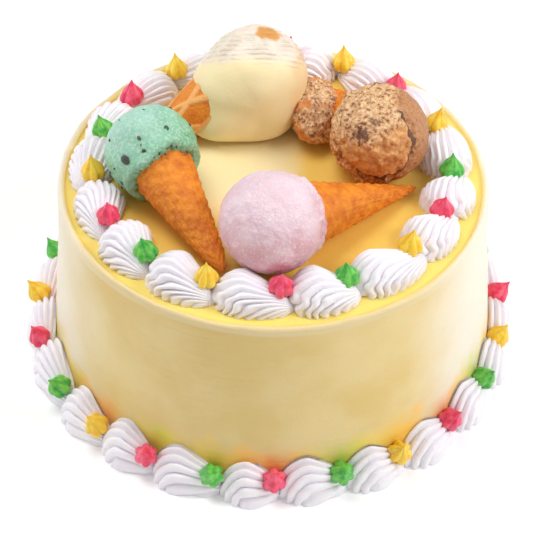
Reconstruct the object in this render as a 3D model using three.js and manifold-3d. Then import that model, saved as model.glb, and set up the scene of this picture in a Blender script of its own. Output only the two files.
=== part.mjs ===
// A round birthday cake, iced in pale yellow, with two rings of piped shells,
// a coloured star in every join, and four small ice-cream cones lying on top.
// Millimetres, +Z up, origin at the middle of the cake's underside.
// An angle on a ring is 0 at the front (-Y) and grows towards +X.

import * as THREE from 'three';
import { mergeVertices } from 'three/addons/utils/BufferGeometryUtils.js';
import Module from 'manifold-3d';

const wasm = await Module();
wasm.setup();

// Cake body
const TOP_RADIUS = 100;
const CAKE_HEIGHT = 94.8;
const FOOT_RADIUS = 107.4;
const RIM_WIDTH = 3.6;
const RIM_RISE = 2;
const CAKE_SIDES = 60;

// Clearance between pieces that touch
const GAP = 0.3;
const ROOM = 0.4;

// Piped shells: a ribbed head whose sections hinge up from the base, and a tail that thins out
const RIDGE_POINTS = 11;
const RIDGE_DEPTH = 0.13;
const DRIFT_PIVOT = 0.35;
const HINGE_LIFTS = [0, 38, 90];
const HINGE_SLIDE = 1.5;
const TAIL_STATIONS = [0.42, 0.85, 1.25];
const TAIL_NARROWING = 0.44;
const TAIL_DROP = 0.46;
const MESH_TOLERANCE = 0.2;
const SHELL_VARIATION = 0.05;

const TOP_RING = {
  name: 'top_shell',
  count: 17,
  ringRadius: 82.8,
  starRadius: 82.2,
  centre: [-0.6, 1.6],
  firstStar: -145.6,
  halfWidth: 12.8,
  height: 15,
  front: 12.5,
  lead: 16.5,
  drift: 3.5,
  baseHeight: CAKE_HEIGHT + GAP,
  starFoot: 7.2,
  starLean: 6,
  starShifts: [0.3, -0.3, -2.2, -1.9, -1.5, -2, -1.4, 0.1, -0.5, 2.2, 1.2, -0.5, 2.1, 4.3, 4.3, 3, 1.5],
  restOnWall: false,
};

const FOOT_RING = {
  name: 'foot_shell',
  count: 23,
  ringRadius: 108.5,
  starRadius: 112.5,
  centre: [-1.5, 2],
  firstStar: -92.2,
  halfWidth: 12.6,
  height: 20.5,
  front: 12.5,
  lead: 15.5,
  drift: 1.5,
  baseHeight: 0,
  starFoot: 10,
  starLean: 30,
  starShifts: [-0.4, -0.6, 1.3, 1.3, 0.5, 1.3, -0.1, -0.1, -0.7, -0.3, 0.3, -0.9, -1.2,
    -0.8, 0.4, 0.9, -0.2, -0.7, 0.3, 0.8, -0.5, 0.2, -0.3],
  restOnWall: true,
};

// Piped stars: ribbed drops with a pulled-up tip
const STAR_POINTS = 5;
const STAR_RADIUS = 4.8;
const STAR_WAIST = 0.74;
const STAR_WAIST_HEIGHT = 5.2;
const STAR_HEIGHT = 11.8;
const STAR_GROOVE = 0.7;

// Ice-cream cones: centre of the scoop and tip of the cone on the cake's top, and the scoop's radius
const SCOOP_SIDES = 20;
const CONE_SIDES = 20;
const CONES = [
  { name: 'mint', scoop: [-55.5, -6], tip: [-21.5, -66.5], radius: 21.1, mouthAt: 11.5, mouth: 14.8,
    tipRadius: 4.2, lumps: 0.45, ice: 0xa8d4ba, crust: 0xd98232 },
  { name: 'strawberry', scoop: [-1, -54.5], tip: [65.5, -7], radius: 22.7, mouthAt: 15.5, mouth: 15.8,
    tipRadius: 1.5, lumps: 0.45, ice: 0xedcdd0, crust: 0xeb9333 },
  { name: 'caramel', scoop: [48.4, 8.1], tip: [18, 67.5], radius: 22.1, mouthAt: 16, mouth: 12.4,
    tipRadius: 1.5, lumps: 1, ice: 0xc98f58, crust: 0xe59244 },
  { name: 'vanilla', scoop: [-9, 46], tip: [-66, 19], radius: 24.4, mouthAt: 16, mouth: 16.8,
    tipRadius: 1.5, lumps: 0.5, slump: [-7, 0], ice: 0xf4e6cf, crust: 0xe8953e },
];

// How far down a sagging scoop spreads, as a share of its radius, and how it draws in again
const SAG_POWER = 6;
const SAG_LIMIT = 0.97;
const SAG_TAPER = 0.04;

// Crumbly lump of caramel ice cream left on its cone
const LUMP_CENTRE = [19.5, 36.5, 106.5];
const LUMP_HALF_SIZES = [12.5, 20, 12];

const ICING = 0xf3e3ae;
const WHITE_CREAM = 0xf2f0f4;

const rad = THREE.MathUtils.degToRad;

/** Repeatable random number from 0 to 1 for a whole number. */
function draw(n) {
  const x = Math.sin(n * 12.9898 + 4.1414) * 43758.5453;
  return x - Math.floor(x);
}

/** Smooth lumps from -1 to 1 for a point, with one lump about every `size` millimetres. */
function lumpiness(x, y, z, size, seed) {
  const k = (2 * Math.PI) / size;
  const a = Math.sin(k * x + seed * 1.7) + Math.sin(k * y * 1.13 + seed * 2.9);
  return (a + Math.sin(k * z * 0.91 + seed * 0.8) * Math.cos(k * (x + y) * 0.6 + seed)) / 3;
}

/** Closed geometry through rings of equal numbers of points; each end is a flat cap, or meets in a point. */
function loft(rings, startPoint = null, endPoint = null) {
  const n = rings[0].length;
  const vertices = rings.flat();
  const faces = [];
  for (let r = 0; r + 1 < rings.length; r += 1) {
    for (let i = 0; i < n; i += 1) {
      const a = r * n + i;
      const b = r * n + ((i + 1) % n);
      faces.push([a, b, b + n], [a, b + n, a + n]);
    }
  }
  const last = (rings.length - 1) * n;
  if (startPoint) {
    vertices.push(startPoint);
  }
  const startIndex = vertices.length - 1;
  if (endPoint) {
    vertices.push(endPoint);
  }
  const endIndex = vertices.length - 1;
  for (let i = startPoint ? 0 : 1; i < (startPoint ? n : n - 1); i += 1) {
    faces.push([startPoint ? startIndex : 0, (i + 1) % n, i]);
  }
  for (let i = endPoint ? 0 : 1; i < (endPoint ? n : n - 1); i += 1) {
    faces.push([endPoint ? endIndex : last, last + i, last + ((i + 1) % n)]);
  }
  const geometry = new THREE.BufferGeometry();
  geometry.setAttribute('position', new THREE.Float32BufferAttribute(vertices.flat(), 3));
  geometry.setIndex(faces.flat());
  return geometry;
}

/** Solid for joining and cutting. */
function solidOf(geometry) {
  const bare = geometry.clone();
  bare.deleteAttribute('normal');
  bare.deleteAttribute('uv');
  const merged = mergeVertices(bare, 1e-4);
  const solid = new wasm.Manifold(new wasm.Mesh({
    numProp: 3,
    vertProperties: new Float32Array(merged.attributes.position.array),
    triVerts: new Uint32Array(merged.index.array),
  }));
  if (solid.volume() < 0) {
    throw new Error('a shape is inside out');
  }
  return solid;
}

/** Geometry of a joined or cut solid. */
function geometryOf(solid) {
  const mesh = solid.getMesh();
  const geometry = new THREE.BufferGeometry();
  geometry.setAttribute('position', new THREE.Float32BufferAttribute(mesh.vertProperties, 3));
  geometry.setIndex(Array.from(mesh.triVerts));
  geometry.computeVertexNormals();
  return geometry;
}

/** Geometry of the largest part of a solid, without the crumbs that a cut leaves. */
function largestPart(solid) {
  const whole = solid.decompose().sort((a, b) => b.volume() - a.volume())[0];
  return geometryOf(whole.simplify(MESH_TOLERANCE));
}

/** Mesh with a material of its own. */
function piece(name, geometry, color, roughness) {
  const mesh = new THREE.Mesh(geometry, new THREE.MeshStandardMaterial({ color, roughness, metalness: 0 }));
  mesh.name = name;
  return mesh;
}

/** The iced body: a slightly flared wall, a soft raised rim and a flat top. */
function cakeGeometry() {
  const crest = TOP_RADIUS - RIM_WIDTH / 2;
  const profile = [
    [0, 0],
    [FOOT_RADIUS, 0],
    [TOP_RADIUS + 1.2, CAKE_HEIGHT * 0.72],
    [TOP_RADIUS, CAKE_HEIGHT - 1.5],
    [TOP_RADIUS - 0.5, CAKE_HEIGHT + RIM_RISE * 0.6],
    [crest, CAKE_HEIGHT + RIM_RISE],
    [TOP_RADIUS - RIM_WIDTH, CAKE_HEIGHT],
    [0, CAKE_HEIGHT],
  ];
  return new THREE.LatheGeometry(profile.map(([r, z]) => new THREE.Vector2(r, z)), CAKE_SIDES)
    .rotateX(Math.PI / 2);
}

/** Everything inside the wall plus the clearance, to cut what leans on it. */
function wallClearance() {
  const margin = GAP + 0.15;
  const top = 40;
  const slope = (FOOT_RADIUS - TOP_RADIUS - 1.2) / (CAKE_HEIGHT * 0.72);
  const profile = [
    [0, -5],
    [FOOT_RADIUS + 5 * slope + margin, -5],
    [FOOT_RADIUS - top * slope + margin, top],
    [0, top],
  ];
  return solidOf(new THREE.LatheGeometry(profile.map(([r, z]) => new THREE.Vector2(r, z)), 72)
    .rotateX(Math.PI / 2));
}

/** Sections of a shell at the front of its ring. Grown by a margin and without ridges it is the room the head takes. */
function shellRings(ring, shell, margin) {
  const ridged = margin === 0;
  const points = ridged ? RIDGE_POINTS : 9;
  const halfWidth = shell.halfWidth + margin;
  const height = shell.height + margin;
  const floor = ridged ? 0 : -1;
  const stations = [
    ...HINGE_LIFTS.map((lift) => ({ lift: rad(lift), along: 0, share: 0 })),
    ...TAIL_STATIONS.slice(0, ridged ? 3 : 1).map((share) => ({
      lift: Math.PI / 2, along: share * shell.reach, share,
    })),
  ];
  return stations.map(({ lift, along, share }) => {
    const width = halfWidth * (1 - TAIL_NARROWING * share ** 1.5);
    const rise = height * (1 - TAIL_DROP * share ** 1.3);
    const sideways = ring.drift * (share - DRIFT_PIVOT);
    const row = [];
    for (let i = 0; i < points; i += 1) {
      const turn = Math.PI * (1 - i / (points - 1));
      const crest = ridged && i % 2 === 1 ? 1 - RIDGE_DEPTH : 1;
      const out = width * Math.cos(turn) * crest + sideways;
      const up = rise * Math.sin(turn) * crest * Math.sin(lift);
      const back = (shell.front + margin) * Math.sin(turn) * crest + HINGE_SLIDE;
      const arc = (along - back * Math.cos(lift)) / ring.ringRadius;
      const r = ring.ringRadius + out;
      const z = i === 0 || i === points - 1 ? floor : Math.max(up, floor);
      row.push([r * Math.sin(arc), -r * Math.cos(arc), lift === 0 ? floor : z]);
    }
    return row;
  });
}

/** A ribbed star whose axis leans outwards, standing at an angle past its shell's head. */
function starGeometry(ring, reachAngle, size) {
  const rows = [[1, 0], [STAR_WAIST, STAR_WAIST_HEIGHT]].map(([share, z]) => {
    const row = [];
    for (let i = 0; i < STAR_POINTS * 2; i += 1) {
      const turn = (Math.PI * i) / STAR_POINTS;
      const r = STAR_RADIUS * share * (i % 2 === 1 ? STAR_GROOVE : 1);
      row.push([r * Math.cos(turn), r * Math.sin(turn), z]);
    }
    return row;
  });
  return loft(rows, null, [0, 0, STAR_HEIGHT])
    .scale(size, size, size)
    .rotateX(rad(ring.starLean))
    .translate(0, -ring.starRadius, ring.starFoot)
    .rotateZ(reachAngle);
}

/** Shell sizes and angles of one ring, each a little different. */
function shellsOf(ring) {
  const pitch = 360 / ring.count;
  const stars = ring.starShifts.map((shift, k) => ring.firstStar + k * pitch + shift);
  return stars.map((star, k) => {
    const before = stars[(k + ring.count - 1) % ring.count] - (k === 0 ? 360 : 0);
    const head = before + THREE.MathUtils.radToDeg(ring.lead / ring.ringRadius);
    const vary = (n) => 1 + SHELL_VARIATION * (2 * draw(k * 7 + n + ring.count) - 1);
    return {
      head,
      reachAngle: rad(star - head),
      reach: rad(star - head) * ring.ringRadius,
      halfWidth: ring.halfWidth * vary(1),
      height: ring.height * vary(2),
      front: ring.front * vary(3),
      starSize: vary(4),
    };
  });
}

/** The ice-cream scoop: a lumpy ball cut flat where its cone begins, resting flat on the cake. */
function scoopGeometry(cone, seed, margin = 0) {
  const shares = [-0.95, -0.8, -0.5, -0.12, 0.25, 0.55];
  const mouthShare = cone.mouthAt / cone.radius;
  const rings = [...shares, mouthShare].map((share) => {
    const row = [];
    for (let i = 0; i < SCOOP_SIDES; i += 1) {
      const turn = (2 * Math.PI * i) / SCOOP_SIDES;
      const flat = share === mouthShare ? 1 : 0;
      const r = cone.radius * Math.sqrt(1 - share * share);
      const at = [cone.radius * share, r * Math.cos(turn), r * Math.sin(turn)];
      const swell = 1 + (margin + (1 - flat) * cone.lumps * lumpiness(...at, 19, seed)) / cone.radius;
      row.push(at.map((v, axis) => (axis === 0 && flat ? v : v * swell)));
    }
    return row;
  });
  return loft(rings, [-cone.radius - margin, 0, 0], null);
}

/** The wafer cone, from its mouth to a rounded-off tip. */
function waferGeometry(cone, length, margin = 0) {
  const rings = [
    [cone.mouthAt + GAP - margin, cone.mouth + margin],
    [length - cone.tipRadius, cone.tipRadius + margin],
  ].map(([x, r]) => {
    const row = [];
    for (let i = 0; i < CONE_SIDES; i += 1) {
      const turn = (2 * Math.PI * i) / CONE_SIDES;
      row.push([x, r * Math.cos(turn), r * Math.sin(turn)]);
    }
    return row;
  });
  return loft(rings, null, [length + margin, 0, 0]);
}

/** Turns a shape made along +X so that it runs from the scoop's centre to the tip, lying on the cake. */
function layDown(geometry, cone, tilt) {
  const [x, y] = cone.scoop;
  const heading = Math.atan2(cone.tip[1] - y, cone.tip[0] - x);
  return geometry.rotateY(tilt).rotateZ(heading)
    .translate(x, y, CAKE_HEIGHT + GAP + cone.radius * 0.985);
}

/** Lets a soft scoop spread squarely below its middle and drift sideways by its slump, like a dome that settles. */
function sag(geometry, cone) {
  if (!cone.slump) {
    return geometry;
  }
  const position = geometry.attributes.position;
  const [x, y] = cone.scoop;
  for (let i = 0; i < position.count; i += 1) {
    const below = (CAKE_HEIGHT + cone.radius - position.getZ(i)) / cone.radius;
    const depth = Math.min(SAG_LIMIT, Math.max(0, below));
    const boxy = (1 - depth ** SAG_POWER) ** (1 / SAG_POWER);
    const spread = (boxy / Math.sqrt(1 - depth ** 2)) * (1 - SAG_TAPER * depth);
    const across = [position.getX(i) - x, position.getY(i) - y];
    const turn = Math.atan2(across[1], across[0]);
    const corner = (Math.cos(turn) ** 4 + Math.sin(turn) ** 4) ** (-0.25 * depth);
    position.setX(i, x + across[0] * spread * corner + cone.slump[0] * depth ** 2);
    position.setY(i, y + across[1] * spread * corner + cone.slump[1] * depth ** 2);
  }
  return geometry;
}

/** Length and downward tilt of a cone's axis. */
function axisOf(cone) {
  const across = Math.hypot(cone.tip[0] - cone.scoop[0], cone.tip[1] - cone.scoop[1]);
  const drop = cone.radius * 0.985 - cone.tipRadius - 0.4;
  return { length: Math.hypot(across, drop), tilt: Math.atan2(drop, across) };
}

/** Flattens the underside of a shape on the cake's top. */
function settle(geometry) {
  const position = geometry.attributes.position;
  for (let i = 0; i < position.count; i += 1) {
    position.setZ(i, Math.max(position.getZ(i), CAKE_HEIGHT + GAP));
  }
  return geometry;
}

/** The crumbly lump, cut clear of the cone that it sticks to and of the scoop beside it. */
function lumpGeometry(neighbours) {
  const ball = mergeVertices(new THREE.SphereGeometry(1, 14, 8).deleteAttribute('normal').deleteAttribute('uv'), 1e-4);
  const position = ball.attributes.position;
  for (let i = 0; i < position.count; i += 1) {
    const at = new THREE.Vector3().fromBufferAttribute(position, i);
    const rough = 1 + 0.1 * lumpiness(at.x * 10, at.y * 10, at.z * 10, 9, 5);
    position.setXYZ(i, at.x * LUMP_HALF_SIZES[0] * rough, at.y * LUMP_HALF_SIZES[1] * rough,
      at.z * LUMP_HALF_SIZES[2] * rough);
  }
  let solid = solidOf(settle(ball.translate(...LUMP_CENTRE)));
  for (const neighbour of neighbours) {
    solid = solid.subtract(neighbour);
  }
  return largestPart(solid);
}

const cake = new THREE.Group();
cake.name = 'birthday_cake';
cake.add(piece('cake_body', cakeGeometry(), ICING, 0.6));

const toppingRooms = [];
const lumpNeighbours = [];
CONES.forEach((cone, k) => {
  const { length, tilt } = axisOf(cone);
  const ball = solidOf(settle(sag(layDown(scoopGeometry(cone, k + 1), cone, tilt), cone)));
  const wafer = settle(layDown(waferGeometry(cone, length), cone, tilt));
  const scoopRoom = solidOf(sag(layDown(scoopGeometry(cone, k + 1, ROOM), cone, tilt), cone));
  const waferRoom = solidOf(layDown(waferGeometry(cone, length, ROOM), cone, tilt));
  const scoop = largestPart(ball.subtract(waferRoom));
  cake.add(piece(`scoop_${cone.name}`, scoop, cone.ice, 0.55));
  cake.add(piece(`cone_${cone.name}`, wafer, cone.crust, 0.7));
  toppingRooms.push(scoopRoom, waferRoom);
  if (cone.name === 'caramel' || cone.name === 'vanilla') {
    lumpNeighbours.push(scoopRoom, waferRoom);
  }
});
cake.add(piece('lump_caramel', lumpGeometry(lumpNeighbours), CONES[2].ice, 0.8));

const wall = wallClearance();

/** One shell with its star, cut clear of the next head, of the wall and of the ice-cream cones. */
function shellPiece(ring, shell, next, k) {
  let solid = solidOf(loft(shellRings(ring, shell, 0)))
    .add(solidOf(starGeometry(ring, shell.reachAngle, shell.starSize)));
  const turn = next.head - shell.head + (k === ring.count - 1 ? 360 : 0);
  solid = solid.subtract(solidOf(loft(shellRings(ring, next, ROOM)).rotateZ(rad(turn))));
  const [x, y] = ring.centre;
  if (ring.restOnWall) {
    solid = solid.subtract(wall.translate([-x, -y, 0]).rotate([0, 0, -shell.head]));
  } else {
    for (const room of toppingRooms) {
      const here = room.translate([-x, -y, -ring.baseHeight]).rotate([0, 0, -shell.head]);
      if (solid.intersect(here).volume() > 0) {
        solid = solid.subtract(here);
      }
    }
  }
  const name = `${ring.name}_${String(k + 1).padStart(2, '0')}`;
  const mesh = piece(name, largestPart(solid), WHITE_CREAM, 0.5);
  mesh.position.set(...ring.centre, ring.baseHeight);
  mesh.rotation.z = rad(shell.head);
  return mesh;
}

for (const ring of [TOP_RING, FOOT_RING]) {
  const shells = shellsOf(ring);
  shells.forEach((shell, k) => cake.add(shellPiece(ring, shell, shells[(k + 1) % ring.count], k)));
}

export default cake;
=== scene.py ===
import math
import random

import bmesh
import bpy
from mathutils import Matrix, Vector, noise


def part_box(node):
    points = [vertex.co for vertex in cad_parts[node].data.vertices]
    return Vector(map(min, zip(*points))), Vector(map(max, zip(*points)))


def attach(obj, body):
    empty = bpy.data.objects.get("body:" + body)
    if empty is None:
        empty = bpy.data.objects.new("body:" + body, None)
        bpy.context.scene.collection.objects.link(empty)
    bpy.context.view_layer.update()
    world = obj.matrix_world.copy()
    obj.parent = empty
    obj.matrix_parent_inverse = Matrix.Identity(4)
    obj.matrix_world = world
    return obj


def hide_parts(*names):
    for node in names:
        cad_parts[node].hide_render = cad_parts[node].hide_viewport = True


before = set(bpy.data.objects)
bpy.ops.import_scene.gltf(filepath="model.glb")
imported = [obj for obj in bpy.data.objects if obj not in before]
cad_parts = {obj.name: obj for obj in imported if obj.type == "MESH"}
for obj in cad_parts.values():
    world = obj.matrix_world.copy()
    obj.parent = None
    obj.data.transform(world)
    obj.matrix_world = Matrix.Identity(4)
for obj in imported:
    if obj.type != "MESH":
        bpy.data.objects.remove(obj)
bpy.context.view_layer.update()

# The iced cake: sponge under whipped icing, turned on a stand and smoothed with a long
# spatula, which leaves a soft raised rim where the wall's icing is pushed over the top edge.
# The wall flares to the foot below WALL_BREAK, a share of the height. Lengths are in millimetres.
MM = 0.001
FOOT_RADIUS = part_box("cake_body")[1].x * 1000
TOP_RADIUS = 100.0
CAKE_HEIGHT = 94.8
WALL_BREAK = 0.72
BREAK_RADIUS = TOP_RADIUS + 1.2
RIM_WIDTH = 3.6
RIM_RISE = 2.0
RIM_ROOT = 1.2
WALL_STOP = 2.5
WALL_STEPS = 26
RIM_STEPS = 12
TOP_STEPS = 40
TURN_STEPS = 288
WALL_SWAY = 0.55
WALL_DRAG = 0.16
RIM_WAVER = 0.7
TOP_SWIRL = 0.25
MERGE_GAP = 1e-7
CAP_CORNERS = 9


def painted(red, green, blue):
    """A colour as seen on a screen, 0 to 255, as the linear colour that a shader takes."""
    linear = [((c / 255 + 0.055) / 1.055) ** 2.4 if c > 10 else c / 3294 for c in (red, green, blue)]
    return (*linear, 1.0)


def smooth_share(low, high, value):
    """0 at low, 1 at high, and a smooth step between them; low may be the larger."""
    t = min(1.0, max(0.0, (value - low) / (high - low)))
    return t * t * (3 - 2 * t)


def wall_radius(height):
    """Radius of the iced wall at a height, both in millimetres."""
    bend = CAKE_HEIGHT * WALL_BREAK
    if height < bend:
        return FOOT_RADIUS + (BREAK_RADIUS - FOOT_RADIUS) * height / bend
    return TOP_RADIUS + (BREAK_RADIUS - TOP_RADIUS) * (CAKE_HEIGHT - height) / (CAKE_HEIGHT - bend)


class Wire:
    """A value, colour or vector on its way through a finish; arithmetic adds Math nodes."""

    def __init__(self, finish, socket):
        self.finish = finish
        self.socket = socket

    def math(self, operation, first, second):
        return self.finish.add("ShaderNodeMath", {"operation": operation}, {0: first, 1: second})

    def __add__(self, other):
        return self.math("ADD", self, other)

    __radd__ = __add__

    def __sub__(self, other):
        return self.math("SUBTRACT", self, other)

    def __rsub__(self, other):
        return self.math("SUBTRACT", other, self)

    def __mul__(self, other):
        return self.math("MULTIPLY", self, other)

    __rmul__ = __mul__

    def __truediv__(self, other):
        return self.math("DIVIDE", self, other)

    def __pow__(self, other):
        return self.math("POWER", self, other)


class Finish:
    """A material under construction: a Principled shader and whatever feeds it."""

    def __init__(self, name, **fixed):
        self.material = bpy.data.materials.new(name)
        self.material.use_nodes = True
        self.tree = self.material.node_tree
        self.shader = self.tree.nodes["Principled BSDF"]
        for socket, value in fixed.items():
            self.shader.inputs[socket.replace("_", " ")].default_value = value
        self.place = self.add("ShaderNodeTexCoord", {}, {}, "Object")

    def add(self, kind, settings, inputs, output=0):
        """Adds a node: its settings or ramp stops first, then the values or wires of its sockets."""
        node = self.tree.nodes.new(kind)
        for name, value in settings.items():
            if name == "stops":
                ramp = node.color_ramp.elements
                while len(ramp) < len(value):
                    ramp.new(0.5)
                for stop, (position, color) in zip(ramp, value):
                    stop.position = position
                    stop.color = color
            else:
                setattr(node, name, value)
        for name, value in inputs.items():
            if isinstance(value, Wire):
                self.tree.links.new(value.socket, node.inputs[name])
            else:
                node.inputs[name].default_value = value
        return Wire(self, node.outputs[output])

    def xyz(self):
        """The three coordinates of the place on the piece, in millimetres."""
        node = self.add("ShaderNodeSeparateXYZ", {}, {0: self.place}).socket.node
        return [Wire(self, socket) * 1000 for socket in node.outputs]

    def noise(self, size, detail=2.0, where=None, distortion=0.0):
        """Cloudy values about 0.5, with one cloud about every size millimetres."""
        inputs = {"Vector": where or self.place, "Scale": 1000 / size, "Detail": detail,
                  "Distortion": distortion}
        return self.add("ShaderNodeTexNoise", {}, inputs)

    def step(self, value, low, high, bottom=0.0, top=1.0):
        """A smooth step of value from low to high; low may be the larger."""
        if low > high:
            low, high, bottom, top = high, low, top, bottom
        inputs = {"Value": value, "From Min": low, "From Max": high, "To Min": bottom, "To Max": top}
        return self.add("ShaderNodeMapRange", {"interpolation_type": "SMOOTHSTEP"}, inputs)

    def mix(self, share, first, second, blend="MIX"):
        """Goes from the first colour to the second as share goes from 0 to 1."""
        settings = {"data_type": "RGBA", "blend_type": blend}
        return self.add("ShaderNodeMix", settings, {0: share, 6: first, 7: second}, 2)

    def wear(self, color=None, roughness=None, bumps=()):
        """Feeds the shader. Bumps are (height in millimetres, wire) and stack up."""
        if color is not None:
            self.tree.links.new(color.socket, self.shader.inputs["Base Color"])
        if roughness is not None:
            self.tree.links.new(roughness.socket, self.shader.inputs["Roughness"])
        below = None
        for height, wire in bumps:
            inputs = {"Height": wire, "Distance": height * MM, "Strength": 1.0}
            if below:
                inputs["Normal"] = below
            below = self.add("ShaderNodeBump", {}, inputs)
        if below:
            self.tree.links.new(below.socket, self.shader.inputs["Normal"])
        return self.material


def finished(name, bm, material, slot, *replaced):
    """Closes a bmesh as a smooth-shaded piece of the cake; its many-cornered caps stay flat."""
    bmesh.ops.remove_doubles(bm, verts=bm.verts, dist=MERGE_GAP)
    edges = [edge for edge in bm.edges if edge.is_boundary]
    for edge in edges:
        edge.smooth = False
    if edges:
        bmesh.ops.holes_fill(bm, edges=edges, sides=0)
    bmesh.ops.recalc_face_normals(bm, faces=bm.faces)
    mesh = bpy.data.meshes.new(name)
    bm.to_mesh(mesh)
    bm.free()
    mesh.polygons.foreach_set("use_smooth", [len(face.vertices) < CAP_CORNERS for face in mesh.polygons])
    mesh.materials.append(material)
    made = bpy.data.objects.new(name, mesh)
    bpy.context.scene.collection.objects.link(made)
    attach(made, "root")
    if replaced:
        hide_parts(*replaced)
    return made


def cake_profile():
    """Radius and height of the icing from the middle of the underside to the middle of the top."""
    points = [(0.0, 0.0), (FOOT_RADIUS / 2, 0.0), (FOOT_RADIUS, 0.0)]
    wall_height = CAKE_HEIGHT - WALL_STOP
    for k in range(1, WALL_STEPS + 1):
        height = wall_height * k / WALL_STEPS
        points.append((wall_radius(height), height))
    for k in range(RIM_STEPS + 1):
        turn = math.pi * k / RIM_STEPS
        across = RIM_WIDTH / 2 * (1 + math.cos(turn))
        rise = (RIM_RISE + RIM_ROOT) * math.sin(turn) ** 0.8
        inward = smooth_share(RIM_STEPS * 2 / 3, RIM_STEPS, k)
        points.append((TOP_RADIUS - RIM_WIDTH + across, CAKE_HEIGHT + rise + RIM_ROOT * (inward - 1)))
    for k in range(1, TOP_STEPS + 1):
        points.append(((TOP_RADIUS - RIM_WIDTH) * (1 - k / TOP_STEPS), CAKE_HEIGHT))
    return points


cake = bmesh.new()
line = [cake.verts.new((r * MM, 0, z * MM)) for r, z in cake_profile()]
rails = [cake.edges.new(pair) for pair in zip(line, line[1:])]
bmesh.ops.spin(cake, geom=line + rails, axis=(0, 0, 1), cent=(0, 0, 0), angle=2 * math.pi,
               steps=TURN_STEPS, use_merge=True)
bmesh.ops.remove_doubles(cake, verts=cake.verts, dist=MERGE_GAP)
for vert in cake.verts:
    x, y, z = vert.co / MM
    r = math.hypot(x, y)
    on_axis_or_underside = r < 1e-6 or z < 0.5
    if on_axis_or_underside:
        continue
    way = Vector((x / r, y / r, 0))
    on_wall = smooth_share(TOP_RADIUS - 2.6, TOP_RADIUS - 1, r)
    on_rim = smooth_share(TOP_RADIUS - RIM_WIDTH - 1.2, TOP_RADIUS - 2.4, r) * smooth_share(84, 95, z)
    sway = noise.noise(Vector((way.x * 2.2, way.y * 2.2, z / 70)))
    drag = noise.noise(Vector((way.x * 5, way.y * 5, z / 7)))
    vert.co += way * (WALL_SWAY * sway + WALL_DRAG * drag) * on_wall * MM
    lip = noise.noise(Vector((way.x * 6, way.y * 6, 4.0))) + 0.5 * noise.noise(way * 19)
    swirl = noise.noise(Vector((x / 26, y / 26, 9.0)))
    on_top = (1 - on_wall) * (z > CAKE_HEIGHT - 2)
    vert.co.z += (RIM_WAVER * lip * on_rim + TOP_SWIRL * swirl * on_top) * MM

# The icing is palest in a smear on the top. At the cake's two sides the paler cream is painted light,
# from the right and from the left; the wall's darker yellow between is partly its own tint and partly
# painted shade. Above the foot shells it carries a painted reflection of the stars, in turn red,
# green and yellow, once in three shells.
icing = Finish("yellow_icing", Roughness=0.5, Subsurface_Weight=0.25, Subsurface_Scale=0.004)
x, y, z = icing.xyz()
flat_place = icing.add("ShaderNodeVectorMath", {"operation": "MULTIPLY"},
                       {0: icing.place, 1: (1000, 1000, 0)})
radius = icing.add("ShaderNodeVectorMath", {"operation": "LENGTH"}, {0: flat_place}, "Value")
angle = icing.add("ShaderNodeMath", {"operation": "ARCTAN2"}, {0: x, 1: 0 - y})
clouds = icing.noise(38, 3)
CREAM_YELLOW = painted(249, 231, 178)
WALL_YELLOW = painted(226, 196, 122)
WALL_CREAM = painted(234, 210, 148)
# Painted light: the pale cream of the cake's two sides, lit from the right and from the left.
LIT_SIDE_CREAM = painted(242, 232, 212)
GOLDEN = painted(250, 208, 96)
RIM_YELLOW = painted(248, 220, 114)
PALE_RIM = painted(230, 210, 158)
SMEAR_PLACE = (-16, 14)
SMEAR_NARROWNESS = (1.9, 0.8)
smear_x = x - SMEAR_PLACE[0]
smear_y = y - SMEAR_PLACE[1]
from_smear = smear_x * smear_x * SMEAR_NARROWNESS[0] + smear_y * smear_y * SMEAR_NARROWNESS[1]
smear = icing.step(from_smear + (clouds - 0.5) * 1500, 2300, 500)
top_color = icing.mix(smear, GOLDEN, CREAM_YELLOW)
near_rim = icing.step(radius + (clouds - 0.5) * 8, TOP_RADIUS - 18, TOP_RADIUS - 8)
top_color = icing.mix(near_rim, top_color, RIM_YELLOW)
# Painted light: the two sides, more on the right, are mixed towards pale cream on the wall and rim; the
# darker front between is partly painted shade.
lit_sides = icing.step(x * x + x * 12 + (clouds - 0.5) * 2500, 4000, 9200)
rim_color = icing.mix(lit_sides, PALE_RIM, LIT_SIDE_CREAM)
top_color = icing.mix(icing.step(radius, TOP_RADIUS - 4, TOP_RADIUS - 1.6), top_color, rim_color)
wall_color = icing.mix(icing.step(clouds, 0.35, 0.7), WALL_YELLOW, WALL_CREAM)
wall_color = icing.mix(lit_sides, wall_color, LIT_SIDE_CREAM)
above_wall = icing.step(z, CAKE_HEIGHT - 2.4, CAKE_HEIGHT - 0.6)
icing_color = icing.mix(above_wall, wall_color, top_color)
FOOT_COUNT = 23
REFLECTION_START = math.radians(1.7)
REFLECTION_HIGH = 31
REFLECTION_LOW = 15
turns = (angle - REFLECTION_START) * (FOOT_COUNT / (6 * math.pi)) + 10.0
cycle = icing.add("ShaderNodeMath", {"operation": "FRACT"}, {0: turns})
# Painted reflection: the colours of the foot's red, green and yellow stars, cast onto the wall just above
# them.
star_reflection_color = icing.add("ShaderNodeValToRGB", {"stops": [
    (0.0, painted(255, 176, 92)), (0.17, painted(250, 214, 110)), (0.34, painted(214, 218, 70)),
    (0.5, painted(250, 220, 90)), (0.67, painted(255, 206, 70)), (1.0, painted(255, 176, 92))]}, {0: cycle})
star_reflection = icing.step(z + (icing.noise(17, 2) - 0.5) * 34, REFLECTION_HIGH, REFLECTION_LOW) * 0.85
icing_color = icing.mix(star_reflection, icing_color, star_reflection_color)
streak_place = icing.add("ShaderNodeMapping", {}, {"Vector": icing.place, "Scale": (0.25, 0.25, 2.2)})
streaks = icing.noise(5, 3, streak_place)
grain = icing.noise(0.9, 2)
icing.wear(icing_color, icing.step(clouds, 0.3, 0.8, 0.42, 0.6), [(0.5, streaks), (0.12, grain)])
finished("iced_cake", cake, icing.material, "yellow_icing", "cake_body")

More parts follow.
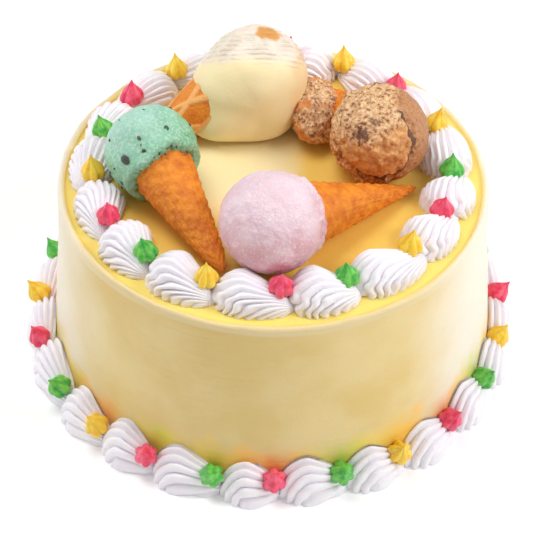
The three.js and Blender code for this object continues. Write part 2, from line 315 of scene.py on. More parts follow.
# Two rings of shells, piped with a closed star nozzle held level: a fat ribbed head is squeezed
# out, and the bag is drawn away counterclockwise so that the tail thins out under the next head.
# Each is a grid whose rows fan out as the head and then follow the tail, up to TAIL_END reaches.
RIBS = 9
RIB_CROWDING = 1.25
RIB_DEPTH = 0.17
RIDGE_PITCH = 4.4
HEAD_SHARE = 0.46
HINGE_SLIDE = 1.5
TAIL_END = 1.38
TAIL_THIN = 1.3
TAIL_NARROWING = 0.44
TAIL_DROP = 0.46
DRIFT_PIVOT = 0.35
SHELL_ROWS = 54
SHELL_COLUMNS = 108
SHELL_VARIATION = 0.05
WALL_CLEARANCE = 0.1

# Bearings are in degrees from the front towards the right: first is the first star's, and shifts
# are how far each star sits off an even spacing. A head starts lead millimetres past a star.
TOP_RING = {
    "name": "top_shell", "count": 17, "ring": 82.8, "star_ring": 82.2,
    "centre": (-0.6, 1.6), "first": -145.6, "half_width": 12.8, "height": 15.0,
    "front": 12.5, "lead": 16.5, "drift": 3.5, "fan": 1.0,
    "base": CAKE_HEIGHT - 0.3, "star_foot": 7.2, "star_lean": 6.0, "colors": "YRG", "color_start": 14,
    "shifts": [0.3, -0.3, -2.2, -1.9, -1.5, -2, -1.4, 0.1, -0.5, 2.2, 1.2, -0.5, 2.1, 4.3, 4.3, 3, 1.5],
}
FOOT_RING = {
    "name": "foot_shell", "count": FOOT_COUNT, "ring": 108.5, "star_ring": 112.5,
    "centre": (-1.5, 2.0), "first": -92.2, "half_width": 12.6, "height": 20.5,
    "front": 12.5, "lead": 15.5, "drift": 1.5, "fan": 0.25,
    "base": 0.0, "star_foot": 10.0, "star_lean": 30.0, "colors": "RGY", "color_start": 6,
    "shifts": [-0.4, -0.6, 1.3, 1.3, 0.5, 1.3, -0.1, -0.1, -0.7, -0.3, 0.3, -0.9, -1.2,
               -0.8, 0.4, 0.9, -0.2, -0.7, 0.3, 0.8, -0.5, 0.2, -0.3],
}


def draw(number):
    """Repeatable random number from 0 to 1 for a whole number."""
    value = math.sin(number * 12.9898 + 4.1414) * 43758.5453
    return value - math.floor(value)


def shells_of(ring):
    """Sizes and angles of a ring's shells, each a little different, in millimetres and radians."""
    count = ring["count"]
    stars = [ring["first"] + k * 360 / count + shift for k, shift in enumerate(ring["shifts"])]
    made = []
    for k, star in enumerate(stars):
        before = stars[k - 1] - (360 if k == 0 else 0)
        head = math.radians(before) + ring["lead"] / ring["ring"]
        draws = [draw(k * 7 + n + count) for n in range(1, 5)]
        wide, high, long, large = (1 + SHELL_VARIATION * (2 * drawn - 1) for drawn in draws)
        made.append({"head": head, "star": math.radians(star), "half_width": ring["half_width"] * wide,
                     "height": ring["height"] * high, "front": ring["front"] * long,
                     "star_size": large, "seed": k * 3.7 + count})
    return made


def shell_place(ring, shell, along, around):
    """A point of a shell's skin: along runs from the head's base to the tail, around from out to in."""
    reach = (shell["star"] - shell["head"]) * ring["ring"]
    in_head = along < HEAD_SHARE
    lift = math.pi / 2 * min(1.0, along / HEAD_SHARE) ** 0.85
    share = 0.0 if in_head else (along - HEAD_SHARE) / (1 - HEAD_SHARE) * TAIL_END
    end = math.sqrt(max(0.0, 1 - max(0.0, (share - 1.0) / (TAIL_END - 1.0)) ** 2))
    width = shell["half_width"] * (1 - TAIL_NARROWING * min(share, TAIL_THIN) ** 1.5) * end
    rise = shell["height"] * (1 - TAIL_DROP * min(share, TAIL_THIN) ** 1.3) * end
    turn = math.pi * around
    seed = shell["seed"]
    height = rise * math.sin(turn) * math.sin(lift)
    back = (shell["front"] * math.sin(turn) + HINGE_SLIDE) * math.cos(lift)
    curl = ring["fan"] * 0.7 * math.sin(0.8 * height + seed) * (1 - smooth_share(7, 13, height))
    curl += 0.4 * noise.noise(Vector((along * 4, around * 3, seed)))
    outer_side = 1 - smooth_share(0.0, 0.55, around)
    fan = ring["fan"] * math.pi * (share * reach - back) / RIDGE_PITCH * outer_side
    rib = abs(math.cos(RIBS * turn ** RIB_CROWDING / 1.12 - fan + curl))
    depth = RIB_DEPTH * (1 - 0.45 * smooth_share(0.3, 1.1, share))
    crest = 1 - depth * (1 - rib) ** 1.25 + 0.03 * noise.noise(Vector((along * 3, around * 3, seed + 9)))
    outward = width * math.cos(turn) * crest + ring["drift"] * (share - DRIFT_PIVOT)
    up = rise * math.sin(turn) ** 0.92 * crest * math.sin(lift)
    back = (shell["front"] * math.sin(turn) * crest + HINGE_SLIDE) * math.cos(lift)
    arc = shell["head"] + (share * reach - back) / ring["ring"]
    radius = ring["ring"] + outward
    spot = Vector((radius * math.sin(arc), -radius * math.cos(arc))) + Vector(ring["centre"])
    against_wall = wall_radius(up) + WALL_CLEARANCE
    if ring is FOOT_RING and spot.length < against_wall:
        spot *= against_wall / spot.length
    return Vector((*spot, ring["base"] + up)) * MM


def mapped_grid(rows, columns, place):
    """A grid whose corners run 0 to 1 both ways, each point of it carried to its place."""
    bm = bmesh.new()
    bmesh.ops.create_grid(bm, x_segments=rows, y_segments=columns, size=0.5)
    for vert in bm.verts:
        vert.co = place(vert.co.x + 0.5, vert.co.y + 0.5)
    return bm


cream = Finish("white_cream", Roughness=0.42, Subsurface_Weight=0.5, Subsurface_Scale=0.002,
               Subsurface_Radius=(1.0, 0.85, 0.9))
cream_clouds = cream.noise(14, 2)
cream_color = cream.mix(cream_clouds, painted(251, 247, 252), painted(244, 237, 247))
cream.wear(cream_color, None, [(0.1, cream.noise(1.6, 3)), (0.04, cream.noise(0.5, 1))])


# The stars are squeezed from a small nozzle straight down into the joins, and pulled up to a point
# that leans over a little. The foot's stars lean out as a whole. Red, green and yellow take turns.
def star_finish(name, deep, light):
    """Coloured cream in two shades that cloud into one another."""
    finish = Finish(name, Roughness=0.38, Subsurface_Weight=0.2, Subsurface_Scale=0.002)
    shade = finish.mix(finish.step(finish.noise(3.2, 2), 0.3, 0.7), deep, light)
    finish.wear(shade, None, [(0.06, finish.noise(0.8, 2))])
    return finish.material


STAR_FINISHES = {
    "R": ("star_red", star_finish("star_red", painted(234, 54, 92), painted(250, 104, 134))),
    "G": ("star_green", star_finish("star_green", painted(54, 172, 66), painted(128, 212, 92))),
    "Y": ("star_yellow", star_finish("star_yellow", painted(250, 196, 38), painted(255, 222, 88))),
}
STAR_RIBS = 6
STAR_RADIUS = 5.0
STAR_HEIGHT = 12.2
STAR_GROOVE = 0.28
STAR_TWIST = 0.5
TIP_LEAN = 1.3
STAR_ROWS = 26
STAR_COLUMNS = 72


def star_place(shell, along, around):
    """A point of a star's skin: along runs from its foot to its pulled tip, around is once round."""
    turn = 2 * math.pi * around + STAR_TWIST * along
    seed = shell["seed"]
    belly = (1 - along) ** 0.8 * (0.8 + 0.75 * math.sin(math.pi * min(1.0, 1.1 * along + 0.06)))
    rib = abs(math.cos(STAR_RIBS / 2 * turn + seed + 0.3 * math.sin(3 * along + seed)))
    radius = STAR_RADIUS * belly * (1 - STAR_GROOVE + STAR_GROOVE * rib ** 0.8)
    lean = Vector((math.cos(seed), math.sin(seed), 0)) * TIP_LEAN * along ** 2
    return Vector((radius * math.cos(turn), radius * math.sin(turn), STAR_HEIGHT * along ** 1.08)) + lean


for ring in (TOP_RING, FOOT_RING):
    for k, shell in enumerate(shells_of(ring)):
        body = mapped_grid(SHELL_ROWS, SHELL_COLUMNS,
                           lambda a, b, ring=ring, shell=shell: shell_place(ring, shell, a, b))
        node = f"{ring['name']}_{k + 1:02d}"
        finished(f"{node}_cream", body, cream.material, "white_cream", node)
        stand = (Matrix.Translation((*ring["centre"], 0))
                 @ Matrix.Rotation(shell["star"], 4, "Z")
                 @ Matrix.Translation((0, -ring["star_ring"], ring["star_foot"] + ring["base"]))
                 @ Matrix.Rotation(math.radians(ring["star_lean"]), 4, "X")
                 @ Matrix.Scale(shell["star_size"], 4))
        star = mapped_grid(STAR_ROWS, STAR_COLUMNS,
                           lambda a, b, shell=shell, stand=stand: (stand @ star_place(shell, a, b)) * MM)
        letter = ring["colors"][(k - ring["color_start"]) % ring["count"] % 3]
        slot, finish = STAR_FINISHES[letter]
        finished(f"{node}_star", star, finish, slot, node)

# Four small ice-cream cones laid on top like a pinwheel: a scoop pressed into the mouth of a
# baked wafer cone, with a ragged collar where the ice cream squashed out over the wafer's edge.
# mouth_at is how far from the scoop's centre the mouth lies. Vanilla has slumped over its mouth.
SCOOP_FINENESS = 6
SEAT = 0.985
SCOOP_GAP = 0.3
TIP_GAP = 0.4
TABLE = CAKE_HEIGHT + 0.1
SAG_POWER = 6
SAG_LIMIT = 0.97
SAG_TAPER = 0.04
SQUARENESS = 4
OVERHANG = 6
RAGGED_WAVES = [(2.2, 2.3), (1.2, 7)]
CONES = {
    "mint": {"scoop": (-55.5, -6), "tip": (-21.5, -66.5), "radius": 21.1, "mouth_at": 11.5, "mouth": 14.8,
             "tip_radius": 4.2},
    "strawberry": {"scoop": (-1, -54.5), "tip": (65.5, -7), "radius": 22.7, "mouth_at": 15.5, "mouth": 15.8,
                   "tip_radius": 1.5},
    "caramel": {"scoop": (48.4, 8.1), "tip": (18, 67.5), "radius": 22.1, "mouth_at": 16, "mouth": 12.4,
                "tip_radius": 1.5},
    "vanilla": {"scoop": (-9, 46), "tip": (-66, 19), "radius": 24.4, "mouth_at": 16, "mouth": 16.8,
                "tip_radius": 1.5, "slump": (-7, 0)},
}
for name, cone in CONES.items():
    across = math.dist(cone["tip"], cone["scoop"])
    drop = cone["radius"] * SEAT - cone["tip_radius"] - TIP_GAP
    cone["length"] = math.hypot(across, drop)
    heading = math.atan2(cone["tip"][1] - cone["scoop"][1], cone["tip"][0] - cone["scoop"][0])
    centre = (*cone["scoop"], CAKE_HEIGHT + SCOOP_GAP + cone["radius"] * SEAT)
    cone["lay"] = (Matrix.Translation(centre) @ Matrix.Rotation(heading, 4, "Z")
                   @ Matrix.Rotation(math.atan2(drop, across), 4, "Y"))
    cone["seed"] = len(name) * 1.9


def clouds_at(point, size, octaves, seed):
    """Rough values about 0 at a point in millimetres, with one lump about every size millimetres."""
    return noise.fractal(Vector(point) / size + Vector((seed, seed * 0.7, -seed)), 0.8, 2.1, octaves)


def slumped(placed, cone):
    """The place of a point after the scoop's lower half has spread squarely and drifted."""
    below = (CAKE_HEIGHT + cone["radius"] - placed.z) / cone["radius"]
    depth = min(SAG_LIMIT, max(0.0, below))
    boxy = (1 - depth ** SAG_POWER) ** (1 / SAG_POWER)
    spread = boxy / math.sqrt(1 - depth ** 2) * (1 - SAG_TAPER * depth)
    centre = Vector((*cone["scoop"], placed.z))
    turn = math.atan2(placed.y - centre.y, placed.x - centre.x)
    corner = (math.cos(turn) ** SQUARENESS + math.sin(turn) ** SQUARENESS) ** (-depth / SQUARENESS)
    return centre + (placed - centre) * spread * corner + Vector((*cone["slump"], 0)) * depth ** 2


def scoop_skin(cone, relief, collar=1.1, raggedness=1.0):
    """A ball worked into a scoop: relief(point, place on the cake) is how far its skin stands out."""
    slumps = "slump" in cone
    bm = bmesh.new()
    bmesh.ops.create_icosphere(bm, subdivisions=SCOOP_FINENESS, radius=cone["radius"])
    for vert in bm.verts:
        point = vert.co.copy()
        way = point.normalized()
        turn = math.atan2(point.z, point.y)
        ragged = 0
        for height, waves in RAGGED_WAVES:
            around = Vector((math.cos(turn) * waves, math.sin(turn) * waves, cone["seed"]))
            ragged += height * noise.noise(around)
        edge = cone["mouth_at"] + 1.5 + ragged * raggedness
        if slumps:
            point.x += OVERHANG * smooth_share(8, 20, point.x) * smooth_share(-22, 2, point.z)
        point += way * relief(point, cone["lay"] @ point)
        if not slumps:
            point += way * collar * smooth_share(edge - 5, edge - 1.2, point.x) * (point.x < edge)
            inside = smooth_share(edge - 0.3, edge + 0.8, point.x)
            fit = 0.8 * cone["mouth"] / max(1.0, math.hypot(point.y, point.z))
            shrink = min(1.0, 1 - inside * (1 - fit))
            point.y *= shrink
            point.z *= shrink
        placed = cone["lay"] @ point
        if slumps:
            placed = slumped(placed, cone)
        placed.z = max(placed.z, TABLE)
        vert.co = placed * MM
    return bm


def frosty(finish, fine=0.25, coarse=0.35):
    """Bumps of the icy grain that a scoop leaves on ice cream."""
    return [(coarse, finish.noise(3.4, 4)), (fine, finish.noise(0.9, 3))]


# Mint: pale green and smooth, frosted with ice, greener by its cone; painted light makes its upper left
# paler and bluer.
# Broken chocolate chips show at its skin, each given by its bearing from the front and its height,
# both in degrees, and its half width.
CHIPS = [(-33, 24, 2.4), (-21, 55, 1.1), (-7, 40, 1.0), (51, 63, 1.1), (-77, 28, 0.7), (-104, 47, 0.8),
         (-147, 75, 0.5), (17, 37, 0.8), (38, 40, 0.8), (58, 22, 0.7), (-38, -14, 1.2), (-26, -38, 1.0),
         (-30, -26, 1.1), (5, 29, 0.6), (-20, 13, 0.5), (8, 33, 0.5), (24, 34, 0.6), (31, 41, 0.5),
         (46, 37, 0.6), (-48, 4, 0.5), (-14, 47, 0.5), (-62, -12, 0.8), (-44, -28, 1.0), (-35, -44, 0.9),
         (150, 40, 1.2), (-160, 10, 0.9), (110, 30, 1.0), (178, -15, 0.8), (-120, -20, 1.2)]
CHIP_HALF_THICKNESS = 0.3
CHIP_STAND = 0.2
CHIP_RAGGEDNESS = 0.65
CHIP_WAVES = 700
CHIP_SHIFTS = (0.0, 31.7, 57.3)
mint = CONES["mint"]
mint_finish = Finish("ice_mint", Roughness=0.5, Subsurface_Weight=0.3, Subsurface_Scale=0.003)
frost = mint_finish.step(mint_finish.noise(1.3, 4), 0.42, 0.68)
lit = mint_finish.step(mint_finish.noise(16, 2), 0.3, 0.7)
mint_color = mint_finish.mix(lit, painted(104, 168, 118), painted(138, 198, 158))
mx, _, mz = mint_finish.xyz()
# Painted light: the upper left, where the light falls, is mixed towards a pale blue.
toward_lit_upper_left = mz - mx * 0.6 + (mint_finish.noise(12, 2) - 0.5) * 12
mint_color = mint_finish.mix(mint_finish.step(toward_lit_upper_left, 154, 176) * 0.55, mint_color,
                             painted(184, 224, 216))
mint_color = mint_finish.mix(frost * 0.4, mint_color, painted(222, 240, 230))
mint_finish.wear(mint_color, None, frosty(mint_finish))


def mint_relief(point, placed):
    """Soft lumps and fine frost, with a ragged skirt where the scoop sits on the cake."""
    skirt = smooth_share(CAKE_HEIGHT + 7, CAKE_HEIGHT + 1.5, placed.z)
    rough = 1.5 * abs(clouds_at(placed, 5, 3, 2.0))
    return 0.5 * clouds_at(point, 14, 3, 1.0) + 0.16 * clouds_at(point, 2.2, 3, 3.0) + skirt * (1.2 + rough)


finished("mint_scoop", scoop_skin(mint, mint_relief), mint_finish.material, "ice_mint", "scoop_mint")

chip_finish = Finish("dark_chocolate", Roughness=0.35)
chip_finish.wear(chip_finish.mix(chip_finish.noise(1.2, 2), painted(44, 42, 38), painted(92, 92, 82)))


def chipped(spot):
    """Rough values about 0 in three directions for a spot, the same on every run."""
    return Vector([noise.noise(spot + Vector((shift, shift, shift))) for shift in CHIP_SHIFTS])


chips = bmesh.new()
chance = random.Random(11)
for swing, rise, size in CHIPS:
    level = math.cos(math.radians(rise))
    way = Vector((level * math.sin(math.radians(swing)), -level * math.cos(math.radians(swing)),
                  math.sin(math.radians(rise))))
    seat = mint["lay"].translation + way * (mint["radius"] + CHIP_STAND)
    spin = Matrix.Rotation(chance.uniform(0, 6), 4, "Z")
    face = way.to_track_quat("Z", "Y").to_matrix().to_4x4()
    width = size * chance.uniform(0.65, 1.0)
    shape = Matrix.Diagonal((size * MM, width * MM, CHIP_HALF_THICKNESS * MM, 1))
    bmesh.ops.create_icosphere(chips, subdivisions=2, radius=1.0,
                               matrix=Matrix.Translation(seat * MM) @ face @ spin @ shape)
for vert in chips.verts:
    vert.co += chipped(vert.co * CHIP_WAVES) * CHIP_RAGGEDNESS * MM
finished("mint_chips", chips, chip_finish.material, "ice_mint")

# Strawberry: pale pink, pressed smooth by the scoop and finely scraped along its axis. It is
# mottled where the ice crystals are finer, whitest on top as painted light, and torn at the wafer's edge.
strawberry = CONES["strawberry"]
pink = Finish("ice_strawberry", Roughness=0.52, Subsurface_Weight=0.3, Subsurface_Scale=0.003)
mottle = pink.step(pink.noise(11, 3), 0.35, 0.7)
pink_color = pink.mix(mottle, painted(222, 168, 175), painted(236, 198, 204))
# Painted light: the top is mixed towards a pale white where light falls from above.
lit_top = pink.step(pink.xyz()[2] + (pink.noise(8, 3) - 0.5) * 16, CAKE_HEIGHT + 24, CAKE_HEIGHT + 40)
pink_color = pink.mix(lit_top * 0.6, pink_color, painted(244, 228, 238))
pink_color = pink.mix(pink.step(pink.noise(1.1, 4), 0.5, 0.72) * 0.5, pink_color, painted(252, 238, 242))
pink_color = pink.mix(pink.step(pink.noise(4.5, 3), 0.62, 0.76) * 0.35, pink_color, painted(224, 160, 168))
pink.wear(pink_color, None, frosty(pink, 0.5, 0.8))


def strawberry_relief(point, placed):
    """Soft lumps, fine frost and the scoop's scrapes."""
    scrapes = 0.35 * clouds_at(Vector((point.x / 3, point.y, point.z)), 3.2, 3, 2.0)
    return 0.6 * clouds_at(point, 12, 3, 5.0) + 0.16 * clouds_at(point, 2.0, 3, 6.0) + scrapes


finished("strawberry_scoop", scoop_skin(strawberry, strawberry_relief, collar=1.7, raggedness=1.7),
         pink.material, "ice_strawberry", "scoop_strawberry")

# Caramel: rough and crumbly, tan on top and toffee brown below. The scoop cut across a dark ribbon
# of sauce, which shows as a ring round the round face that it left, RIBBON_DEPTH from the scoop's
# middle towards RIBBON_FACE, and as a smudge on that face. The right flank is smoother.
caramel = CONES["caramel"]


def crumbly_finish(name, low, high):
    """Crumbs of several browns: cream crystals, tan crumb and dark pits."""
    finish = Finish(name, Roughness=0.58, Subsurface_Weight=0.12, Subsurface_Scale=0.002)
    height = finish.xyz()[2] + (finish.noise(9, 2) - 0.5) * 14
    risen = finish.step(height, CAKE_HEIGHT + 16, CAKE_HEIGHT + 34)
    brown = finish.mix(risen, low, high)
    crumb = finish.noise(1.5, 5, distortion=0.3)
    brown = finish.mix(finish.step(crumb, 0.52, 0.64) * 0.7, brown, painted(250, 222, 180))
    brown = finish.mix(finish.step(crumb, 0.48, 0.36) * 0.85, brown, painted(132, 72, 38))
    dark = finish.step(finish.noise(6, 5, distortion=1.0), 0.58, 0.7) * 0.7
    brown = finish.mix(dark, brown, painted(112, 58, 32))
    return finish, brown


toffee, toffee_color = crumbly_finish("ice_caramel", painted(206, 124, 50), painted(226, 178, 128))
RIBBON_FACE = Vector((-0.165, -0.9, 0.402))
RIBBON_DEPTH = 13.7
RIBBON_HALF_WIDTH = 0.55
SMUDGE = Vector((-9.5, -16.2, 11.5))
middle = caramel["lay"].translation
px, py, pz = (wire - value for wire, value in zip(toffee.xyz(), middle))
facing = px * RIBBON_FACE.x + py * RIBBON_FACE.y + pz * RIBBON_FACE.z + (toffee.noise(9, 3) - 0.5) * 1.5
from_ribbon = toffee.add("ShaderNodeMath", {"operation": "ABSOLUTE"}, {0: facing - RIBBON_DEPTH})
low_or_right = toffee.step(pz - px * 1.4 + (toffee.noise(5, 2) - 0.5) * 6, 12, 8)
half_width = toffee.step(pz, 0, -9, RIBBON_HALF_WIDTH, RIBBON_HALF_WIDTH * 1.7)
ribbon = toffee.step(from_ribbon - half_width, 0.5, 0.0) * low_or_right
inside = toffee.step(facing, RIBBON_DEPTH, RIBBON_DEPTH + 1.5) * toffee.step(pz - px * 0.4, 17, 8)
flank = toffee.step(facing, RIBBON_DEPTH, RIBBON_DEPTH - 1.5) * toffee.step(px, 4, 9)
blotch = toffee.step(toffee.noise(4, 4), 0.35, 0.65)
orange = toffee.mix(blotch, painted(198, 112, 36), painted(234, 164, 88))
toffee_color = toffee.mix(inside * 0.7, toffee_color, orange)
toffee_color = toffee.mix(flank * 0.75, toffee_color, painted(182, 118, 72))
smudge_gap = toffee.add("ShaderNodeVectorMath", {"operation": "DISTANCE"},
                        {0: toffee.place, 1: (middle + SMUDGE) * MM}, "Value") * 1000
smudge = toffee.step(smudge_gap + (toffee.noise(3, 4) - 0.5) * 14, 5.2, 2.2) * 0.85
toffee_color = toffee.mix(smudge, toffee_color, painted(96, 46, 34))
toffee_color = toffee.mix(ribbon * 0.9, toffee_color, painted(92, 46, 28))
toffee.wear(toffee_color, None, [(0.7, toffee.noise(2.2, 5)), (0.35, toffee.noise(0.8, 3))])


def caramel_relief(point, placed):
    """Crumbs and pits, smoother on the flank, with the ribbon's groove and a ragged collar under it."""
    away = placed - middle
    front = away.dot(RIBBON_FACE) + 0.9 * clouds_at(point, 9, 2, 2.0)
    lit_sides = smooth_share(4, 9, away.x) * smooth_share(RIBBON_DEPTH, RIBBON_DEPTH - 2, front)
    groove = smooth_share(1.7, 0.5, abs(front - RIBBON_DEPTH)) * smooth_share(19, 16, away.z)
    grit = 1.0 * clouds_at(point, 3.0, 4, 7.0) + 1.2 * clouds_at(point, 8, 3, 8.0)
    collar = smooth_share(RIBBON_DEPTH - 1, RIBBON_DEPTH - 3, front) * smooth_share(4, -6, away.z)
    return grit * (1 - 0.7 * lit_sides) - 0.9 * groove + collar * (0.8 + 0.9 * clouds_at(placed, 3.5, 2, 4.0))


finished("caramel_scoop", scoop_skin(caramel, caramel_relief), toffee.material,
         "ice_caramel", "scoop_caramel")

# The lump: a crumbly piece of the caramel ice cream that broke off onto the cone, with flakes of
# wafer stuck to it.
LUMP_CENTRE = Vector((19.5, 36.5, 106.5))
LUMP_HALF_SIZES = Vector((12.5, 20.0, 12.0)) * 0.97
lump_finish, lump_color = crumbly_finish("crumb_caramel", painted(218, 166, 116), painted(232, 190, 150))
flake = lump_finish.step(lump_finish.noise(13, 2), 0.54, 0.6) * 0.8
lump_color = lump_finish.mix(flake, lump_color, painted(232, 142, 62))
lump_finish.wear(lump_color, None, [(0.9, lump_finish.noise(2.0, 5)), (0.35, lump_finish.noise(0.8, 3))])
lump = bmesh.new()
bmesh.ops.create_icosphere(lump, subdivisions=SCOOP_FINENESS - 1, radius=1.0)
for vert in lump.verts:
    way = vert.co.copy()
    point = Vector(share * half for share, half in zip(way, LUMP_HALF_SIZES))
    point += way * (2.6 * clouds_at(point, 8, 3, 9.0) + 1.3 * clouds_at(point, 2.8, 4, 3.0))
    placed = LUMP_CENTRE + point
    placed.z = max(placed.z, TABLE)
    vert.co = placed * MM
finished("caramel_lump", lump, lump_finish.material, "ice_caramel", "lump_caramel")

# Vanilla: the largest scoop, at the back. Its dome is cream white and combed into ripples by the
# scoop, with a spot of caramel sauce on its crown. Below DOME_EDGE, on a scale that runs up and
# back, it has softened, yellowed and slumped smooth.
vanilla = CONES["vanilla"]
DOME_EDGE = 118
RIPPLE_RATE = 1.9
SAUCE_PLACE = (vanilla["scoop"][0] + 6, vanilla["scoop"][1] + 3.5, CAKE_HEIGHT + 48)
white = Finish("ice_vanilla", Roughness=0.5, Subsurface_Weight=0.3, Subsurface_Scale=0.003)
vx, vy, vz = white.xyz()
ripple = white.add("ShaderNodeMath", {"operation": "SINE"},
                   {0: (vz + vy) * RIPPLE_RATE + (white.noise(9, 2) - 0.5) * 6})
up_and_back = vz * 0.72 + vy * 0.69
low = white.step(up_and_back + (white.noise(14, 2) - 0.5) * 8, DOME_EDGE + 8, DOME_EDGE + 1)
combed = (1 - low) * white.step(white.noise(6, 2), 0.35, 0.6)
white_color = white.mix(low, painted(240, 228, 212), painted(252, 233, 184))
white_color = white.mix(white.step(ripple, 0.0, 1.0) * combed * 0.5, white_color, painted(232, 208, 172))
from_sauce = white.add("ShaderNodeVectorMath", {"operation": "DISTANCE"},
                       {0: white.place, 1: Vector(SAUCE_PLACE) * MM}, "Value") * 1000
sauce = white.step(from_sauce + (white.noise(4, 3) - 0.5) * 6, 7.4, 4.8)
white_color = white.mix(sauce, white_color, painted(224, 160, 84))
# Painted shade: the right flank is darkened towards gold.
gold_flank_shade = white.step(vx - vanilla["scoop"][0] + (white.noise(6, 2) - 0.5) * 6, 15, 21) * 0.5
white_color = white.mix(gold_flank_shade, white_color, painted(238, 200, 140))
white.wear(white_color, None, [(0.3, ripple * combed), (0.12, white.noise(1.2, 3))])


def vanilla_relief(point, placed):
    """Soft lumps all over, and ripples with a little frost on the dome."""
    dome = smooth_share(DOME_EDGE, DOME_EDGE + 8, placed.z * 0.72 + placed.y * 0.69)
    wave = 0.16 * math.sin((placed.z + placed.y) * RIPPLE_RATE + 2 * noise.noise(placed / 11))
    return 0.5 * clouds_at(point, 16, 2, 11.0) + (wave + 0.1 * clouds_at(point, 2.5, 3, 6.0)) * dome


finished("vanilla_scoop", scoop_skin(vanilla, vanilla_relief), white.material,
         "ice_vanilla", "scoop_vanilla")

# The wafer cones: three thin rolled sugar cones with a faint pressed pattern, and under the
# vanilla one a waffle cone whose raised ribs cross in diamonds. Each is baked flat on an iron and
# rolled while it is soft.
CONE_ROWS = 150
CONE_COLUMNS = 150
OUTSIDE_SHARE = 0.86
MOUTH_GAP = 0.3
WAFER_THICKNESS = 1.7
MOUTH_DEPTH = 5.0
RING_RATE = 1.25
BARS = 8
BAR_HEIGHT = 0.4
LAP_HEIGHT = 0.5
DIAMONDS = 5
DIAMOND_RUN = 8.2
DIAMOND_ORIGIN = 14
WAFFLE_RIB_HEIGHT = 0.9


def wafer_place(cone, along, around, relief):
    """A point of a wafer cone: along runs from the tip to the rim, over it, and down inside the mouth."""
    start, end = cone["mouth_at"] + MOUTH_GAP, cone["length"]
    turn = 2 * math.pi * around
    tip = cone["tip_radius"]
    slope = (cone["mouth"] - tip) / (end - tip - start)
    if along <= OUTSIDE_SHARE:
        share = along / OUTSIDE_SHARE
        x = end + (start - end) * share ** 1.15
        nose = min(1.0, math.sqrt(max(0.0, (end - x) / (2 * tip))))
        r = (tip + slope * max(0.0, end - tip - x)) * nose
        r += relief(x, turn) * smooth_share(0.0, 0.1, share)
    else:
        share = (along - OUTSIDE_SHARE) / (1 - OUTSIDE_SHARE)
        x = start + MOUTH_DEPTH * smooth_share(0.35, 0.8, share)
        r = cone["mouth"] - WAFER_THICKNESS * smooth_share(0.0, 0.35, share)
        r *= 1 - smooth_share(0.8, 1.0, share)
    placed = cone["lay"] @ Vector((x, r * math.cos(turn), r * math.sin(turn)))
    placed.z = max(placed.z, TABLE)
    return placed * MM


def sugar_relief(x, turn):
    """Rings and bars pressed faintly into a rolled sugar cone, with the lap of the roll along one side."""
    bars = BAR_HEIGHT * smooth_share(-0.1, 0.5, math.sin(x * RING_RATE) * math.sin(BARS * turn))
    lap = LAP_HEIGHT * smooth_share(0.0, 0.12, (turn / (2 * math.pi) + x * 0.004) % 1.0)
    strokes = 0.35 * noise.noise(Vector((x / 7, math.cos(turn) * 9, math.sin(turn) * 9)))
    grain = 0.12 * noise.noise(Vector((x / 2, math.cos(turn) * 5, math.sin(turn) * 5)))
    return bars - lap + strokes + grain


def lattice_share(x, turn, cone):
    """1 on the waffle's crossing ribs and 0 in the middle of its cells."""
    run = math.log(max(2.0, cone["length"] + DIAMOND_ORIGIN - x)) * DIAMOND_RUN
    first = abs(math.sin((DIAMONDS * turn + run) / 2))
    second = abs(math.sin((DIAMONDS * turn - run) / 2))
    return smooth_share(0.5, 0.16, min(first, second))


def waffle_relief(x, turn):
    """Ribs that stand as far out of the wafer as its cells sink in."""
    return WAFFLE_RIB_HEIGHT * (lattice_share(x, turn, CONES["vanilla"]) - 0.5)


def wafer_finish(name, deep, light, lattice):
    """Baked wafer: toasted brown where it lay thin on the iron, paler on what stands up."""
    finish = Finish(name, Roughness=0.6)
    toast = finish.step(finish.noise(6, 5), 0.3, 0.7)
    shade = finish.mix(toast, deep, light)
    speck = finish.noise(0.9, 3)
    shade = finish.mix(finish.step(speck, 0.6, 0.74) * 0.4, shade, painted(140, 66, 10))
    shade = finish.mix(finish.step(speck, 0.42, 0.3) * 0.35, shade, painted(252, 182, 80))
    if lattice:
        standing = finish.add("ShaderNodeAttribute", {"attribute_name": "standing"}, {}, "Fac")
        shade = finish.mix(standing * 0.85, shade, painted(250, 186, 112))
    finish.wear(shade, None, [(0.45, finish.noise(1.4, 4)), (0.15, finish.noise(0.5, 2))])
    return finish.material


sugar_wafer = wafer_finish("wafer_sugar", painted(216, 112, 18), painted(242, 146, 28), False)
waffle_wafer = wafer_finish("wafer_waffle", painted(224, 116, 18), painted(240, 146, 40), True)
for name, cone in CONES.items():
    relief = waffle_relief if name == "vanilla" else sugar_relief
    material = waffle_wafer if name == "vanilla" else sugar_wafer
    wafer = mapped_grid(CONE_ROWS, CONE_COLUMNS,
                        lambda a, b, cone=cone, relief=relief: wafer_place(cone, a, b, relief))
    if name == "vanilla":
        layer = wafer.verts.layers.float.new("standing")
        back = cone["lay"].inverted()
        for vert in wafer.verts:
            local = back @ (vert.co / MM)
            vert[layer] = lattice_share(local.x, math.atan2(local.z, local.y), cone)
    finished(f"{name}_cone", wafer, material, "wafer", f"cone_{name}")

# The studio: a white table top, soft lights above, from the right and low from the left, and a
# white room. The camera looks from the front and above, from where the photo was taken.
CAMERA_TARGET = Vector((-2.8, 0.0, 39.0))
CAMERA_DISTANCE = 900.0
CAMERA_ELEVATION = 43.67
CAMERA_ROLL = 0.69
FOCAL_PIXELS = 1859.0
PHOTO_WIDTH = 533.0
SENSOR = 36.0
TABLE_GAP = 0.0002
TABLE_RADIUS = 6.0
LAMP_AIM = (0, 0, 0.06)
ROOM_LIGHT = 0.42

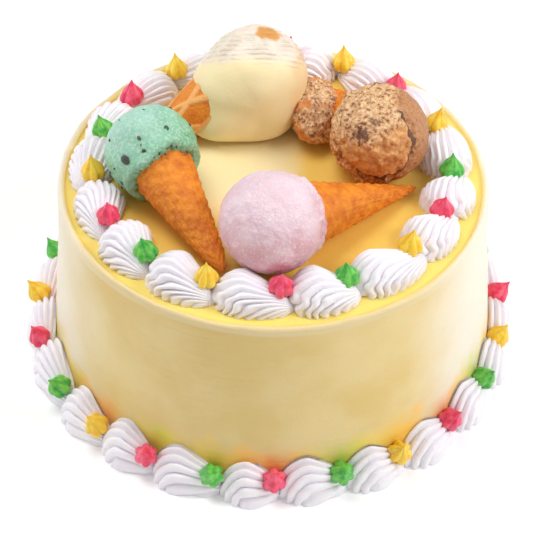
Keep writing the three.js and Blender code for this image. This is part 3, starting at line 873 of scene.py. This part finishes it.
table = bmesh.new()
bmesh.ops.create_circle(table, cap_ends=True, segments=64, radius=TABLE_RADIUS,
                        matrix=Matrix.Translation((0, 0, -TABLE_GAP)))
table_mesh = bpy.data.meshes.new("table_top")
table.to_mesh(table_mesh)
table.free()
table_top = bpy.data.objects.new("table_top", table_mesh)
bpy.context.scene.collection.objects.link(table_top)
paper = Finish("table_white", Roughness=0.9, Base_Color=(0.95, 0.95, 0.95, 1.0),
               Emission_Color=(1.0, 1.0, 1.0, 1.0), Emission_Strength=0.12)
table_mesh.materials.append(paper.material)

lens = bpy.data.cameras.new("camera")
lens.sensor_width = SENSOR
lens.lens = FOCAL_PIXELS * SENSOR / PHOTO_WIDTH
camera = bpy.data.objects.new("camera", lens)
bpy.context.scene.collection.objects.link(camera)
bpy.context.scene.camera = camera
tilt = math.radians(CAMERA_ELEVATION)
away = Vector((0, -math.cos(tilt), math.sin(tilt))) * CAMERA_DISTANCE
camera.matrix_world = (Matrix.Translation((CAMERA_TARGET + away) * MM)
                       @ Matrix.Rotation(math.pi / 2 - tilt, 4, "X")
                       @ Matrix.Rotation(math.radians(CAMERA_ROLL), 4, "Z"))

# Each light's place in metres, the side of its square, and its power in watts
LIGHTS = [
    ("key", (0.85, -0.2, 0.8), 0.5, 6.5),
    ("top", (-0.3, 0.15, 1.25), 0.6, 7.0),
    ("rim", (-1.1, 0.15, 0.4), 0.5, 2.5),
]
for name, place, size, watts in LIGHTS:
    lamp = bpy.data.lights.new(name, "AREA")
    lamp.size = size
    lamp.energy = watts
    light = bpy.data.objects.new(name, lamp)
    light.location = place
    light.rotation_euler = (Vector(LAMP_AIM) - Vector(place)).to_track_quat("-Z", "Y").to_euler()
    bpy.context.scene.collection.objects.link(light)
world = bpy.data.worlds.new("white_room")
bpy.context.scene.world = world
world.use_nodes = True
world.node_tree.nodes["Background"].inputs["Color"].default_value = (1, 1, 1, 1)
world.node_tree.nodes["Background"].inputs["Strength"].default_value = ROOM_LIGHT
bpy.context.scene.view_settings.view_transform = "Standard"
